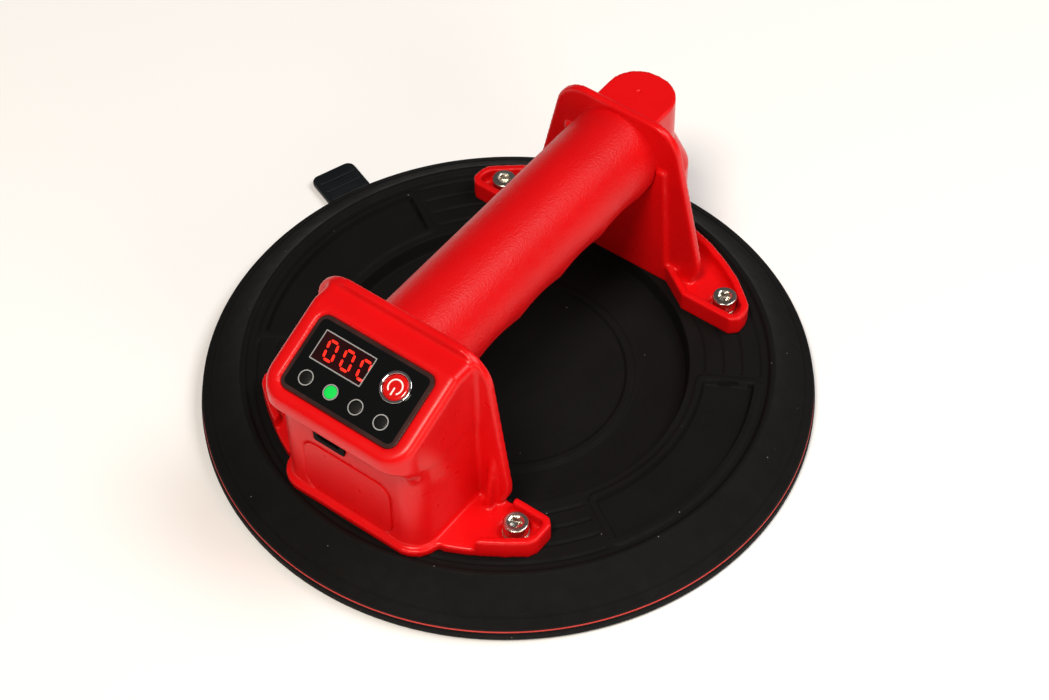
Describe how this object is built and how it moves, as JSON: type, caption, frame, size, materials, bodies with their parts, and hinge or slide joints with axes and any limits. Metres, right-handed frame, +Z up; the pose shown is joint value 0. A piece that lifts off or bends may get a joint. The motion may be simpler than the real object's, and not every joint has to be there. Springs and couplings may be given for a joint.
{
  "type": "vacuum suction cup",
  "caption": "Battery-powered vacuum lifting cup: round rubber pad with sealing lip, two moulded brackets, a cylindrical grip and a control head with tilted panel.",
  "frame": {"origin": "middle of the pad, in the plane of the sealing lip's face", "axes": "+Z up out of the pad, the grip along Y, the control head at -Y"},
  "size_m": [0.2226, 0.211, 0.0854],
  "materials": {
    "black_rubber": "matte moulded rubber",
    "tab_rubber": "matte moulded rubber",
    "red_rubber": "matte",
    "red_abs": "moulded, satin gloss",
    "red_abs_grained": "moulded, fine spark-eroded grain",
    "black_plastic": "moulded",
    "clear_window": "polished",
    "black_print": "screen print",
    "red_button": "polished",
    "chrome": "plated",
    "stainless": "cold-headed, bright",
    "aluminium_plate": "rolled",
    "steel_tube": "drawn",
    "brass": "turned",
    "circuit_board": "solder mask",
    "smoked_lens": "tinted",
    "led_lens": "diffused",
    "silicone": "translucent",
    "white_plastic": "moulded",
    "magnet": "sintered",
    "cell_wrap": "shrink film",
    "filter_felt": "felt"
  },
  "bodies": {
    "frame": {"access_cover": "red_abs", "backing_plate": "aluminium_plate", "battery_cell": "cell_wrap", "battery_contacts": "steel_tube", "battery_cradle": "black_plastic", "board_screws": "steel_tube", "bracket_screws": "stainless", "bracket_washers": "stainless", "button_ring": "chrome", "charge_board": "circuit_board", "charge_socket": "steel_tube", "connecting_rod": "white_plastic", "control_board": "circuit_board", "display_module": "smoked_lens", "front_bracket": "red_abs", "handle_grip": "red_abs_grained", "head_floor": "red_abs", "indicator_band": "red_rubber", "motor_can": "steel_tube", "motor_magnets": "magnet", "pad_body": "black_rubber", "panel_overlay": "black_print", "panel_window": "clear_window", "plate_standoffs": "brass", "plunger_spring": "steel_tube", "port_filter": "filter_felt", "port_surround": "black_plastic", "pressure_sensor": "black_plastic", "pump_cradle": "black_plastic", "pump_diaphragm": "black_rubber", "pump_head": "white_plastic", "pump_hose": "silicone", "rear_bracket": "red_abs", "release_valve": "black_plastic", "seal_lip": "black_rubber", "sensor_hose": "silicone", "shaft_bushes": "brass", "sockle_floor": "red_abs", "status_leds": "led_lens", "suction_manifold": "black_plastic", "tact_switch": "black_plastic", "tie_screws": "steel_tube", "valve_cover": "white_plastic", "valve_hose": "silicone", "valve_seat": "brass"},
    "release_tab": {"release_tab": "tab_rubber"},
    "power_button": {"power_button": "red_button", "switch_plunger": "black_plastic"},
    "motor_rotor": {"motor_rotor": "steel_tube", "crank_pin": "steel_tube"},
    "valve_plunger": {"valve_plunger": "steel_tube"}
  },
  "joints": [
    {"name": "tab_flex", "type": "hinge", "parent": "frame", "child": "release_tab", "pos_m": [-0.09914, 0.03608, 0.0034], "axis": [0.342, 0.9397, 0], "range_deg": [0, 30], "stiffness_Nm_per_rad": 0.02},
    {"name": "button_press", "type": "slide", "parent": "frame", "child": "power_button", "axis": [0, 0.4384, -0.8988], "range_m": [0, 0.0006], "stiffness_N_per_m": 800},
    {"name": "rotor_spin", "type": "hinge", "parent": "frame", "child": "motor_rotor", "pos_m": [0, -0.0675, 0.032], "axis": [1, 0, 0], "continuous": true},
    {"name": "valve_lift", "type": "slide", "parent": "frame", "child": "valve_plunger", "axis": [-1, 0, 0], "range_m": [0, 0.0015], "stiffness_N_per_m": 300, "deforming": ["plunger_spring"]}
  ]
}
